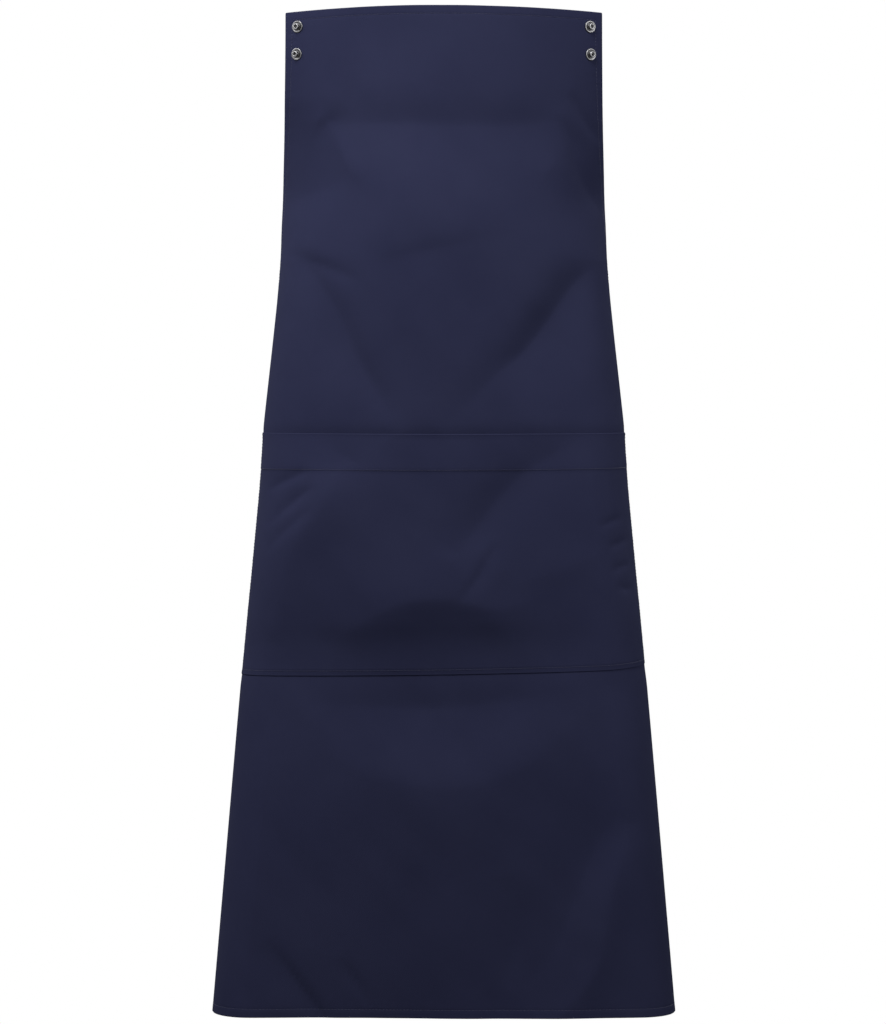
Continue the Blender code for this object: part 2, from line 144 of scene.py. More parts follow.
# Folds die out from this across to the side lines. Above this share of the bib they reach its edges.
FOLD_END, BIB_FOLD_START = 1.0, 1 / 3
# Slight unevenness all over: so many waves in all directions, between two lengths, of one steepness.
UNEVEN_WAVES, UNEVEN_LENGTHS, UNEVEN_SLOPE, UNEVEN_SEED = 12, (0.028, 0.20), 0.008, 11
# A wing hangs in one long wave with small slanting flutes on it, which grow from the waist to the hem.
# The starts are shares of the wing, over which they come in behind the side line.
WING_WAVE, WING_WAVE_START = 0.007, 0.33
WING_FLUTE, WING_FLUTE_START = 0.0016, 0.5
WING_FLUTES, WING_FLUTE_SLANT = 3, 4.0
# How far the side lines stand out from their straight lines, in millimetres by height. Under the pocket's
# ends the cloth is drawn in, so that the pocket lies level with the cloth above and below it. Behind the
# side lines this dies out over a share of the wing.
SIDE_EASE = (
    *((0.000, -0.95), (0.090, -0.35), (0.143, 0.05), (0.194, 0.4), (0.245, 0.7), (0.282, 0.85)),
    *((0.292, 0.2), (0.347, 0.1), (0.372, -0.15), (0.445, -0.3), (0.474, 0.2), (0.492, 0.7)),
    *((0.499, 1.9), (0.512, 1.75), (0.550, 1.05), (0.580, 0.5), (0.610, 0.1), (0.640, 0.15)),
    *((0.678, 1.3), (0.728, 1.75), (0.800, 1.5), (0.860, 0.9)),
)
SIDE_EASE_BLUR = 0.003
SIDE_EASE_WING = 0.625


def mix(low, high, share):
    return low + (high - low) * share


def smooth(share):
    share = np.clip(share, 0.0, 1.0)
    return share * share * (3.0 - 2.0 * share)


def unit(vectors):
    return vectors / np.linalg.norm(vectors, axis=-1, keepdims=True)


class Section:
    """A level cut through the cloth, from the centre front round one side to its rear edge."""

    def __init__(self, front_radius, front_turn, side_radius, side_turn, rear_turn=0.0):
        self.arcs = ((front_radius, front_turn), (side_radius, side_turn))
        self.front = front_radius * front_turn
        self.side = side_radius * side_turn
        self.wing = FLAT_HALF_WIDTH - self.front - self.side
        self.rear_turn = rear_turn

    def at(self, across):
        """Sideways and backward from the centre front. Across is 1 where the side bend starts, 2 at the
        outline and 3 at the rear edge."""
        sideways = backward = turned = 0.0
        for first, (radius, turn) in enumerate(self.arcs):
            end = turned + turn * np.clip(across - first, 0.0, 1.0)
            sideways = sideways + radius * (np.sin(end) - np.sin(turned))
            backward = backward + radius * (np.cos(turned) - np.cos(end))
            turned = end
        run = np.maximum(across - 2.0, 0.0) * self.wing
        bent = np.minimum(run, REAR_RADIUS * self.rear_turn)
        turned = bent / REAR_RADIUS
        sideways = sideways - REAR_RADIUS * (1.0 - np.cos(turned)) - (run - bent) * np.sin(turned)
        backward = backward + REAR_RADIUS * np.sin(turned) + (run - bent) * np.cos(turned)
        return sideways, backward


def wrapped(front_radius, side_radius, reach, rear_turn):
    """A section whose front arc and side bend meet smoothly and face square sideways at the reach."""
    front_turn = math.asin((reach - side_radius) / (front_radius - side_radius))
    return Section(front_radius, front_turn, side_radius, math.pi / 2 - front_turn, rear_turn)


TOP_RADIUS = TOP_REACH / math.sin(TOP_TURN)
UNDERARM_SECTION = wrapped(UNDERARM_FRONT_RADIUS, UNDERARM_SIDE_RADIUS, UNDERARM_REACH, UNDERARM_REAR_TURN)
FRONT_SHARE = 1.0 - UNDERARM_SECTION.side / (FLAT_HALF_WIDTH - UNDERARM_SECTION.wing)
TOP_SECTION = Section(TOP_RADIUS, TOP_TURN * FRONT_SHARE, TOP_RADIUS, TOP_TURN * (1.0 - FRONT_SHARE))
HEM_SECTION = wrapped(HEM_FRONT_RADIUS, HEM_SIDE_RADIUS, HEM_REACH, HEM_REAR_TURN)


def skin(across, height):
    """Points of the cloth's outer face before its folds."""
    across, height = np.broadcast_arrays(np.asarray(across, float), np.asarray(height, float))
    away = np.abs(across)
    middle, top, hem = (section.at(away) for section in (UNDERARM_SECTION, TOP_SECTION, HEM_SECTION))
    up = (height - UNDERARM) / (LENGTH - UNDERARM)
    down = height / UNDERARM
    sideways = mix(top[0], middle[0], np.clip(1.0 - up, 0.0, 1.0) ** BIB_EDGE_EASE)
    backward = mix(middle[1] - UNDERARM_FRONT, top[1] - TOP_FRONT, smooth(up))
    below = height <= UNDERARM
    sideways = np.where(below, mix(hem[0], middle[0], down), sideways)
    backward = np.where(below, mix(hem[1] - HEM_FRONT, middle[1] - UNDERARM_FRONT, down), backward)
    return np.stack((np.copysign(sideways, across), backward, height), axis=-1)


def facing(place, across, height):
    """The way that a cloth face looks, from its slopes. The bib has nothing beside its edges."""
    limit = np.maximum(np.where(height > UNDERARM, 2.0, 3.0), np.abs(across))
    beside = place(np.minimum(across + ACROSS_STEP, limit), height)
    beside = beside - place(np.maximum(across - ACROSS_STEP, -limit), height)
    return unit(np.cross(beside, place(across, height + HEIGHT_STEP) - place(across, height - HEIGHT_STEP)))


def by_height(hem, middle, top, height):
    """A cloth length at a height, from the ones at the hem, the underarm and the top."""
    up = smooth((height - UNDERARM) / (LENGTH - UNDERARM))
    return np.where(height > UNDERARM, mix(middle, top, up), mix(hem, middle, height / UNDERARM))


def side_length(height):
    """The cloth's length round a side bend, from across 1 to the outline."""
    return by_height(HEM_SECTION.side, UNDERARM_SECTION.side, TOP_SECTION.side, height)


def front_length(height):
    """The cloth's length from the centre front to across 1."""
    return by_height(HEM_SECTION.front, UNDERARM_SECTION.front, TOP_SECTION.front, height)


def wing_length(height):
    return mix(HEM_SECTION.wing, UNDERARM_SECTION.wing, height / UNDERARM)


def armhole(across, inset=0.0):
    """The height of a wing's upper edge, a quarter ellipse, or of a line this far inside it."""
    wing = UNDERARM_SECTION.wing
    share = (3.0 - np.abs(across)) * wing / (wing + inset)
    return UNDERARM - (UNDERARM - WAIST + inset) * np.sqrt(np.clip(1.0 - share * share, 0.0, 1.0))


def behind_outline(across, height):
    """How far behind the side line a place is, along the flat cloth."""
    away = np.abs(across)
    front = np.minimum(away - 1.0, 0.0) * front_length(height)
    side = (np.clip(away, 1.0, 2.0) - 2.0) * side_length(height)
    return front + side + np.maximum(away - 2.0, 0.0) * wing_length(height)


ARMHOLE_POINTS, REAR_POINTS = 32, 5


def edge_distance(across, height):
    """How far a place is from the cloth's nearest free edge."""
    across, height = np.broadcast_arrays(np.asarray(across, float), np.asarray(height, float))
    hole = 2.0 + np.linspace(0.0, 1.0, ARMHOLE_POINTS) ** 2
    rear = np.linspace(WAIST, 0.0, REAR_POINTS)
    edge_x = np.concatenate(([0.0], behind_outline(hole, armhole(hole)), wing_length(rear)))
    edge_y = np.concatenate(([LENGTH], armhole(hole), rear))
    x = behind_outline(across, height)
    nearest = np.minimum(np.abs(LENGTH - height), np.abs(height))
    for start_x, start_y, end_x, end_y in zip(edge_x, edge_y, edge_x[1:], edge_y[1:]):
        run = math.hypot(end_x - start_x, end_y - start_y)
        if run < HEIGHT_STEP:
            continue
        along_x, along_y = (end_x - start_x) / run, (end_y - start_y) / run
        share = np.clip((x - start_x) * along_x + (height - start_y) * along_y, 0.0, run)
        away = np.hypot(x - start_x - share * along_x, height - start_y - share * along_y)
        nearest = np.minimum(nearest, away)
    return nearest


def curve_through(line):
    """Close points on a smooth curve through a fold's places."""
    line = np.array(line, float) * MM
    guides = np.concatenate((2 * line[:1] - line[1:2], line, 2 * line[-1:] - line[-2:-1]))
    share = np.linspace(0.0, 1.0, FOLD_SAMPLES, endpoint=False)[:, None]
    pieces = []
    for before, start, end, after in zip(guides, guides[1:], guides[2:], guides[3:]):
        bend = (2 * before - 5 * start + 4 * end - after) * share**2
        bend = bend + (3 * start - before - 3 * end + after) * share**3
        pieces.append(start + ((end - before) * share + bend) / 2)
    return np.concatenate((*pieces, line[-1:]))


class Relief:
    """A map of how far folds rise, by place on the front, which is read off smoothly between its points."""

    STEP = 0.002
    LEFT, TOP, WIDTH, HEIGHT = -0.30, -0.06, 0.60, 0.98
    CLOSENESS = 6

    def __init__(self, folds):
        columns = self.LEFT + np.arange(round(self.WIDTH / self.STEP)) * self.STEP
        rows = self.TOP + np.arange(round(self.HEIGHT / self.STEP)) * self.STEP
        sideways, drop = np.meshgrid(columns, rows)
        self.rise = np.zeros_like(sideways)
        for line, left_reach, right_reach in folds:
            line = curve_through(line)
            weight = height = reach = nearest = 0.0
            for start, end in zip(line, line[1:]):
                run = end - start
                beside, below = sideways - start[0], drop - start[1]
                share = np.clip((beside * run[0] + below * run[1]) / (run[0] ** 2 + run[1] ** 2), 0.0, 1.0)
                away = np.hypot(beside - share * run[0], below - share * run[1]) + self.STEP / 10
                close = away**-self.CLOSENESS
                hand = (run[0] * below - run[1] * beside) / (math.hypot(run[0], run[1]) * away)
                weight = weight + close
                height = height + close * (start[2] + share * run[2])
                reach = reach + close * mix(left_reach, right_reach, smooth(0.5 + 0.5 * hand))
                nearest = nearest + close * away
            steep = nearest / (reach * MM)
            self.rise += height / weight * np.exp(-(steep**FOLD_SHARPNESS))

    @staticmethod
    def weights(share):
        """How much each of four neighbours counts."""
        return (
            (1.0 - share) ** 3 / 6,
            (3 * share**3 - 6 * share**2 + 4) / 6,
            (3 * share + 3 * share**2 - 3 * share**3 + 1) / 6,
            share**3 / 6,
        )

    def at(self, sideways, drop):
        column, row = (sideways - self.LEFT) / self.STEP, (drop - self.TOP) / self.STEP
        left = np.clip(np.floor(column).astype(int), 1, self.rise.shape[1] - 3)
        above = np.clip(np.floor(row).astype(int), 1, self.rise.shape[0] - 3)
        beside, below = self.weights(column - left), self.weights(row - above)
        return sum(
            across * down * self.rise[above + lower - 1, left + further - 1]
            for further, across in enumerate(beside)
            for lower, down in enumerate(below)
        )


front_folds = Relief(FOLDS)


def unevenness(sideways, height):
    """Slow waves, the same on each run."""
    waves = np.random.default_rng(UNEVEN_SEED)
    rise = np.zeros_like(sideways)
    for length in np.geomspace(*UNEVEN_LENGTHS, UNEVEN_WAVES):
        turn, phase = waves.uniform(0.0, 2 * math.pi, 2)
        along = (sideways * math.cos(turn) + height * math.sin(turn)) / length
        rise = rise + UNEVEN_SLOPE * length / (2 * math.pi) * np.sin(2 * math.pi * along + phase)
    return rise


def side_rise(across, height):
    """How far the cloth stands out near its side lines."""
    heights, rises = np.transpose(SIDE_EASE)
    steps = (-2.0, -1.0, 0.0, 1.0, 2.0)
    rise = sum(np.interp(height + step * SIDE_EASE_BLUR, heights, rises) for step in steps) / len(steps)
    beyond = np.abs(across) - 2.0
    return rise * MM * np.where(beyond > 0.0, 1.0 - smooth(beyond / SIDE_EASE_WING), smooth(1.0 + beyond))


def wing_rise(across, height):
    """How far the waves lift a wing."""
    behind = np.maximum(np.abs(across) - 2.0, 0.0)
    wave = WING_WAVE * np.sin(2 * math.pi * behind) * smooth(behind / WING_WAVE_START)
    turn = 2 * math.pi * WING_FLUTES * behind + WING_FLUTE_SLANT * height / LENGTH
    flute = WING_FLUTE * np.sin(turn) * smooth(behind / WING_FLUTE_START)
    return (wave + flute) * (1.0 - smooth(height / WAIST))


def front_rise(across, height):
    """How far the folds bring the front forward. They die out towards the side lines."""
    sideways = skin(across, height)[..., 0]
    fade = 1.0 - smooth(np.abs(across) - FOLD_END)
    up = (height - UNDERARM) / (LENGTH - UNDERARM)
    fade = mix(fade, 1.0, smooth(up / BIB_FOLD_START)) * (np.abs(across) <= 2.0)
    return (front_folds.at(sideways, LENGTH - height) + unevenness(sideways, height)) * fade


def sewn_relief(distance, along, depth=STITCH_DIP):
    """Stitches draw the cloth into a groove, with small puckers on both sides of it."""
    dip = depth * np.exp(-((distance / STITCH_DIP_WIDTH) ** 2))
    turn = 2 * math.pi * along / (PUCKER_DRIFT_RUN * PUCKER_PITCH)
    wander = along + PUCKER_DRIFT * PUCKER_PITCH * np.sin(turn)
    pucker = PUCKER * np.sin(2 * math.pi * wander / PUCKER_PITCH) * np.exp(-((distance / PUCKER_REACH) ** 2))
    return pucker - dip


def draped(across, height):
    """The cloth's outer face with its folds, before its hems."""
    rise = wing_rise(across, height) + side_rise(across, height)
    forward = front_rise(across, height)[..., None] * np.array((0.0, -1.0, 0.0))
    return skin(across, height) + facing(skin, across, height) * rise[..., None] + forward


def outer(across, height):
    """The cloth's outer face. A hem stands a little proud of its stitches."""
    distance = edge_distance(across, height)
    sideways = skin(across, height)[..., 0]
    puff = HEM_PUFF * (1.0 - smooth((distance - STITCH_INSET + HEM_STEP) / HEM_STEP))
    along = np.where(np.minimum(height, LENGTH - height) > HEM_WIDTH + PUCKER_REACH, height, sideways)
    rise = puff + sewn_relief(distance - STITCH_INSET, along)
    return draped(across, height) + facing(skin, across, height) * rise[..., None]


def inner(across, height):
    """The cloth's inner face, one layer behind the outer one, or three at a hem."""
    single = smooth((edge_distance(across, height) - HEM_WIDTH + HEM_STEP) / (2 * HEM_STEP))
    depth = mix(HEM_LAYERS, CLOTH, single)
    return outer(across, height) - facing(outer, across, height) * depth[..., None]


def rim_loop(rows, columns):
    """The indices of a grid's border points, anticlockwise as seen from outside, and its four sides."""
    index = np.arange(rows * columns).reshape(rows, columns)
    sides = {
        "bottom": (index[0], index[1]),
        "right": (index[:, -1], index[:, -2]),
        "top": (index[-1, ::-1], index[-2, ::-1]),
        "left": (index[::-1, 0], index[::-1, 1]),
    }
    return np.concatenate([edge[:-1] for edge, _ in sides.values()]), sides


def smooth_mesh(name, points, faces):
    mesh = bpy.data.meshes.new(name)
    mesh.from_pydata(points.reshape(-1, 3).tolist(), [], faces)
    mesh.shade_smooth()
    return mesh


def put_in_scene(name, mesh):
    piece = bpy.data.objects.new(name, mesh)
    bpy.context.scene.collection.objects.link(piece)
    return piece


def closed_cloth(name, faces, normals, places, seams=()):
    """A cloth piece with an outer face, an inner face and round folded edges. faces and normals are for the
    two sides, and places are on the flat cloth, in grids of rows from the bottom and columns from the left.
    seams gives the border points where the cloth goes on into another piece, so that it is cut flat there."""
    rows, columns = faces[0].shape[:2]
    count = rows * columns
    index = np.arange(count).reshape(rows, columns)
    quads = np.stack((index[:-1, :-1], index[:-1, 1:], index[1:, 1:], index[1:, :-1]), axis=-1)
    quads = quads.reshape(-1, 4)
    loop, sides = rim_loop(rows, columns)
    points = [grid.reshape(-1, 3) for grid in faces]
    away = np.zeros((count, 3))
    for side, (edge, inside) in sides.items():
        free = ~np.isin(edge, seams[side]) if side in seams else np.ones(len(edge), bool)
        away[edge[free]] += unit(points[0][edge[free]] - points[0][inside[free]])
    away = away[loop]
    away = away / np.maximum(np.linalg.norm(away, axis=1, keepdims=True), 1.0)
    depth = np.linalg.norm(points[0][loop] - points[1][loop], axis=1, keepdims=True)
    rim = (points[0][loop] + points[1][loop]) / 2 + away * depth / 2
    here = np.arange(len(loop))
    after = np.roll(here, -1)
    first = 2 * count
    border = [
        np.stack((loop[after], loop, first + here, first + after), axis=-1),
        np.stack((first + after, first + here, count + loop, count + loop[after]), axis=-1),
    ]
    corners = np.concatenate([quads, quads[:, ::-1] + count, *border])
    mesh = smooth_mesh(name, np.concatenate([*points, rim]), corners.tolist())
    rim_normals = unit(away + normals[0].reshape(-1, 3)[loop] * HEIGHT_STEP)
    looks = np.concatenate([normals[0].reshape(-1, 3), normals[1].reshape(-1, 3), rim_normals])
    mesh.normals_split_custom_set_from_vertices(looks.tolist())
    flat = places.reshape(-1, 2)
    flat = np.concatenate([flat, flat, flat[loop]])
    worn = np.concatenate([np.zeros(first), np.ones(len(loop))])
    mesh.attributes.new("worn", "FLOAT", "POINT").data.foreach_set("value", worn)
    mesh.uv_layers.new(name="weave").data.foreach_set("uv", flat[corners.ravel()].ravel())
    return put_in_scene(name, mesh)


def laid_cloth(name, across, height, seams=()):
    """A piece of the apron's own cloth, from grids of across and height."""
    faces = outer(across, height), inner(across, height)
    normals = facing(outer, across, height), -facing(inner, across, height)
    outline = front_length(height) + side_length(height)
    places = np.stack((np.sign(across) * (outline + behind_outline(across, height)), height), axis=-1)
    return closed_cloth(name, faces, normals, places, seams)


# Lines beside a free edge, where the hem bends, steps and takes its stitches.
HEM_LINES = np.array((0.0, 0.0006, 0.002, 0.004, 0.0055, 0.0061, 0.0065, 0.0070, 0.0075, 0.0080, 0.0095))
FRONT_CELLS, SIDE_CELLS, SKIRT_CELLS = 40, 18, 250
between_hems = np.linspace(HEM_LINES[-1], LENGTH - HEM_LINES[-1], SKIRT_CELLS)[1:-1]
front_rows = np.concatenate((HEM_LINES, between_hems, LENGTH - HEM_LINES[::-1]))
bend_length = side_length(front_rows)[:, None]
half_columns = (
    np.broadcast_to(np.linspace(0.0, 1.0, FRONT_CELLS + 1), (len(front_rows), FRONT_CELLS + 1)),
    1.0 + (1.0 - HEM_LINES[-1] / bend_length) * np.linspace(0.0, 1.0, SIDE_CELLS + 1)[1:-1],
    2.0 - HEM_LINES[::-1] / bend_length,
)
front_across = np.concatenate(half_columns, axis=1)
front_across = np.concatenate((-front_across[:, :0:-1], front_across), axis=1)
front_height = np.broadcast_to(front_rows[:, None], front_across.shape)
front_sides = rim_loop(*front_across.shape)[1]
front_edges = {side: front_sides[side][0] for side in ("left", "right")}
front_seams = {side: edge[front_height.ravel()[edge] < UNDERARM] for side, edge in front_edges.items()}
front = laid_cloth("front_cloth", front_across, front_height, front_seams)


class Field:
    """A socket in a material's nodes, so that shader maths reads as Python."""

    def __init__(self, tree, socket=None):
        self.tree = tree
        self.socket = socket

    def node(self, kind, settings=None, sockets=None, output=0):
        """Any node: its settings are set first, and then its sockets' values or links."""
        made = self.tree.nodes.new(kind)
        for name, value in (settings or {}).items():
            setattr(made, name, value)
        for name, value in (sockets or {}).items():
            if isinstance(value, Field):
                self.tree.links.new(value.socket, made.inputs[name])
            else:
                made.inputs[name].default_value = value
        return Field(self.tree, made.outputs[output])

    def maths(self, operation, first, second=0.0):
        return self.node("ShaderNodeMath", {"operation": operation}, {0: first, 1: second})

    def __add__(self, other):
        return self.maths("ADD", self, other)

    def __sub__(self, other):
        return self.maths("SUBTRACT", self, other)

    def __rsub__(self, other):
        return self.maths("SUBTRACT", other, self)

    def __mul__(self, other):
        return self.maths("MULTIPLY", self, other)

    __radd__ = __add__
    __rmul__ = __mul__

    def into(self, shader, name):
        self.tree.links.new(self.socket, shader.inputs[name])


def new_finish(name):
    """A new material, a start for its nodes' maths, and its surface shader."""
    material = bpy.data.materials.new(name)
    material.use_nodes = True
    tree = material.node_tree
    return material, Field(tree), tree.nodes["Principled BSDF"]


def tinted(start, share, dark, light):
    """A colour between two by a share."""
    colours = {"Factor": share, 6: (*dark, 1.0), 7: (*light, 1.0)}
    return start.node("ShaderNodeMix", {"data_type": "RGBA"}, colours, output=2)


def noise(start, place, scale, detail, roughness=0.5):
    sockets = {"Vector": place, "Scale": scale, "Detail": detail, "Roughness": roughness}
    return start.node("ShaderNodeTexNoise", None, sockets)


def ranged(start, value, low, high, settings=None):
    """A value's share of the way from low to high."""
    sockets = {"Value": value, "From Min": low, "From Max": high}
    return start.node("ShaderNodeMapRange", settings, sockets)


def bumpy(start, shader, height, strength, distance):
    sockets = {"Height": height, "Strength": strength, "Distance": distance}
    start.node("ShaderNodeBump", None, sockets).into(shader, "Normal")


def right_and_up(start, place):
    return [start.node("ShaderNodeSeparateXYZ", None, {0: place}, output) for output in (0, 1)]


def woven(name, dark, light, pitch, slant, relief):
    """A matt cloth with yarns at a pitch. Slant is how many yarns a rib steps sideways for each one up."""
    material, start, shader = new_finish(name)
    flat = start.node("ShaderNodeUVMap", {"uv_map": "weave"})
    yarns = start.node("ShaderNodeVectorMath", {"operation": "SCALE"}, {0: flat, "Scale": 1.0 / pitch})
    right, up = right_and_up(start, yarns)
    wander = noise(start, yarns, 0.11, 2.0)
    rib = start.maths("SINE", (right + up * slant + wander * 1.2) * (2 * math.pi))
    weft = start.maths("SINE", up * (4 * math.pi))
    slub = noise(start, yarns, 0.9, 3.0, 0.6)
    height = rib * 0.35 + weft * 0.12 + slub * 0.8
    cloudy = noise(start, flat, 9.0, 5.0, 0.55)
    worn = start.node("ShaderNodeAttribute", {"attribute_name": "worn"}, None, 2)
    # Raised ribs and slubs are coloured lighter: a painted highlight on the raised yarns, and also real yarn
    # colour variation. The cloudy mottling and the lighter worn rims are the cloth's own colour.
    lit = ranged(start, height * 0.25 + cloudy + worn * 0.5, 0.30, 1.05)
    tinted(start, lit, dark, light).into(shader, "Base Color")
    (0.92 - height * 0.10).into(shader, "Roughness")
    bumpy(start, shader, height, relief, 0.0002)
    shader.inputs["Specular IOR Level"].default_value = 0.0
    shader.inputs["Sheen Weight"].default_value = 0.03
    shader.inputs["Sheen Roughness"].default_value = 0.45
    shader.inputs["Sheen Tint"].default_value = (0.62, 0.66, 0.85, 1.0)
    return material


twill = woven("navy_twill", (0.0170, 0.0188, 0.0440), (0.0240, 0.0262, 0.0570), 0.0008, 1.0, 0.35)
front.data.materials.append(twill)
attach(front, "apron")
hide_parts("front_panel")

# The front panel's hem thread: lockstitches in navy polyester, one row up a bib edge, across the top and
# down the other edge, and one row along the bottom. Each stitch shows on both faces of the cloth.
STITCH_PITCH = 0.0029
STITCH_LENGTH = 0.0023
STITCH_RADIUS = 0.00023
STITCH_SINK = 0.00022
STITCH_SIDES = 6
# How far the thread's twist moves on from one stitch to the next.
STITCH_TWIST = 1.37
# Places along a stitch, its thickness there and how far it lies out of the cloth.
STITCH_STATIONS = ((0.10, 0.62, 0.0), (0.5, 1.0, 0.6), (0.90, 0.62, 0.0))


def stitches(name, rows):
    """Rows of stitches, each given by close points along a line on a cloth face and the face's normals."""
    starts, ends, ups = [], [], []
    for points, normals in rows:
        run = np.concatenate(([0.0], np.cumsum(np.linalg.norm(np.diff(points, axis=0), axis=1))))
        count = max(int(run[-1] / STITCH_PITCH), 1)
        middles = (np.arange(count) + 0.5) * run[-1] / count
        spots = [middles - STITCH_LENGTH / 2, middles + STITCH_LENGTH / 2, middles]
        found = [np.stack([np.interp(spot, run, line) for line in points.T], axis=-1) for spot in spots]
        starts.append(found[0])
        ends.append(found[1])
        ups.append(np.stack([np.interp(middles, run, line) for line in normals.T], axis=-1))
    start, end, up = np.concatenate(starts), np.concatenate(ends), unit(np.concatenate(ups))
    beside = unit(np.cross(up, end - start))
    turn = 2 * math.pi * np.arange(STITCH_SIDES) / STITCH_SIDES
    round_way = beside[:, None] * np.cos(turn)[None, :, None] + up[:, None] * np.sin(turn)[None, :, None]
    layers = [(start - up * STITCH_SINK)[:, None]]
    for share, thick, lie in STITCH_STATIONS:
        middle = start + (end - start) * share + up * STITCH_RADIUS * lie
        layers.append(middle[:, None] + round_way * STITCH_RADIUS * thick)
    layers.append((end - up * STITCH_SINK)[:, None])
    points = np.concatenate(layers, axis=1)
    last = points.shape[1] - 1
    faces, places = [], []
    for side in range(STITCH_SIDES):
        after = (side + 1) % STITCH_SIDES
        low, high = side / STITCH_SIDES, (side + 1) / STITCH_SIDES
        faces.append((0, 1 + after, 1 + side))
        places.append(((0.0, low), (STITCH_STATIONS[0][0], high), (STITCH_STATIONS[0][0], low)))
        for ring in range(len(STITCH_STATIONS) - 1):
            here, beyond = 1 + ring * STITCH_SIDES, 1 + (ring + 1) * STITCH_SIDES
            along, further = STITCH_STATIONS[ring][0], STITCH_STATIONS[ring + 1][0]
            faces.append((here + side, here + after, beyond + after, beyond + side))
            places.append(((along, low), (along, high), (further, high), (further, low)))
        here = 1 + (len(STITCH_STATIONS) - 1) * STITCH_SIDES
        faces.append((here + side, here + after, last))
        places.append(((STITCH_STATIONS[-1][0], low), (STITCH_STATIONS[-1][0], high), (1.0, low)))
    first = np.arange(len(points)) * points.shape[1]
    every = [tuple(corner + begin for corner in face) for begin in first.tolist() for face in faces]
    mesh = smooth_mesh(name, points, every)
    twist = np.array([corner for face in places for corner in face])
    moved = np.stack((np.arange(len(points)) * STITCH_TWIST, np.zeros(len(points))), axis=-1)
    twist = twist[None] + moved[:, None]
    mesh.uv_layers.new(name="twist").data.foreach_set("uv", twist.ravel())
    piece = put_in_scene(name, mesh)
    piece.data.materials.append(thread)
    return piece


def spun_thread(name, dark, light):
    """A thread of three plies, which show as slanting ridges."""
    material, start, shader = new_finish(name)
    place = start.node("ShaderNodeUVMap", {"uv_map": "twist"})
    along, around = right_and_up(start, place)
    ply = start.maths("SINE", (along * 5.0 + around) * (2 * math.pi))
    fuzz = noise(start, place, 14.0, 3.0)
    height = ply * 0.4 + fuzz
    # The ply ridges are coloured lighter, a painted highlight on their crests, over the thread's real fuzzy
    # colour variation.
    tinted(start, ranged(start, height, 0.1, 0.9), dark, light).into(shader, "Base Color")
    (0.75 - fuzz * 0.3).into(shader, "Roughness")
    bumpy(start, shader, height, 0.5, 0.0001)
    shader.inputs["Specular IOR Level"].default_value = 0.3
    return material


thread = spun_thread("navy_thread", (0.0145, 0.0155, 0.0380), (0.0270, 0.0290, 0.0640))
LINE_POINTS = 400


def both_faces(across, height):
    """A line of stitches as it shows on the outer and the inner face."""
    return [
        (outer(across, height), facing(outer, across, height)),
        (inner(across, height), -facing(inner, across, height)),
    ]


def inset_across(height):
    """The across of the front panel's stitch line, beside a bib edge and the upper end of the armhole."""
    drop = np.clip((UNDERARM - height) / (UNDERARM - WAIST + STITCH_INSET), 0.0, 1.0)
    wing = UNDERARM_SECTION.wing
    return 2.0 - (np.sqrt(1.0 - drop * drop) * (wing + STITCH_INSET) - wing) / side_length(height)


edge_rows = np.linspace(armhole(2.0, STITCH_INSET), LENGTH - STITCH_INSET, LINE_POINTS)
edge_across = inset_across(edge_rows)
top_across = np.linspace(-edge_across[-1], edge_across[-1], LINE_POINTS)
bib_line = (
    np.concatenate((-edge_across, top_across[1:-1], edge_across[::-1])),
    np.concatenate((edge_rows, np.full(LINE_POINTS - 2, edge_rows[-1]), edge_rows[::-1])),
)
bib_stitching = stitches("bib_hem_stitches", both_faces(*bib_line))
bottom_across = np.linspace(-2.0, 2.0, LINE_POINTS)
bottom_rows = np.full(LINE_POINTS, STITCH_INSET)
bottom_stitching = stitches("bottom_hem_stitches", both_faces(bottom_across, bottom_rows))
for piece, node in ((bib_stitching, "bib_stitching"), (bottom_stitching, "bottom_stitching")):
    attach(piece, "apron")
    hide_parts(node)
front_widths = 2 * (FLAT_HALF_WIDTH - wing_length(np.minimum(front_rows, UNDERARM)))
front_widths = np.where(front_rows > UNDERARM, 2 * (TOP_RADIUS * TOP_TURN), front_widths)
front_area = float(np.sum((front_widths[1:] + front_widths[:-1]) / 2 * np.diff(front_rows)))

# Wings: the same cloth behind each side line, which goes round the wearer's hip to a hemmed rear edge. Its
# upper edge sweeps down from the underarm to the waist.
WING_CELLS, WING_ROW_CELLS = 44, 170
# How much closer the points stand towards the side line, where the upper edge is steep.
WING_CROWDING = 1.6
WING_BEND = 0.040
SIDES = ((-1, "left"), (1, "right"))
level = np.linspace(0.0, 1.0, WING_ROW_CELLS)[1:-1]


def wing_grid():
    """Across and height of a right wing's points."""
    guess = np.concatenate((HEM_LINES / UNDERARM, level, np.ones(len(HEM_LINES)))) * UNDERARM
    reach = 1.0 - HEM_LINES[-1] / wing_length(guess)[:, None]
    columns = (
        2.0 + reach * np.linspace(0.0, 1.0, WING_CELLS + 1)[:-1] ** WING_CROWDING,
        3.0 - HEM_LINES[::-1] / wing_length(guess)[:, None],
    )
    across = np.concatenate(columns, axis=1)
    top = [armhole(across[number - len(HEM_LINES)], line) for number, line in enumerate(HEM_LINES[::-1])]
    lines = [np.full(across.shape[1], line) for line in HEM_LINES]
    for number, share in enumerate(level):
        lines.append(mix(HEM_LINES[-1], armhole(across[len(HEM_LINES) + number], HEM_LINES[-1]), share))
    return across, np.stack(lines + top)


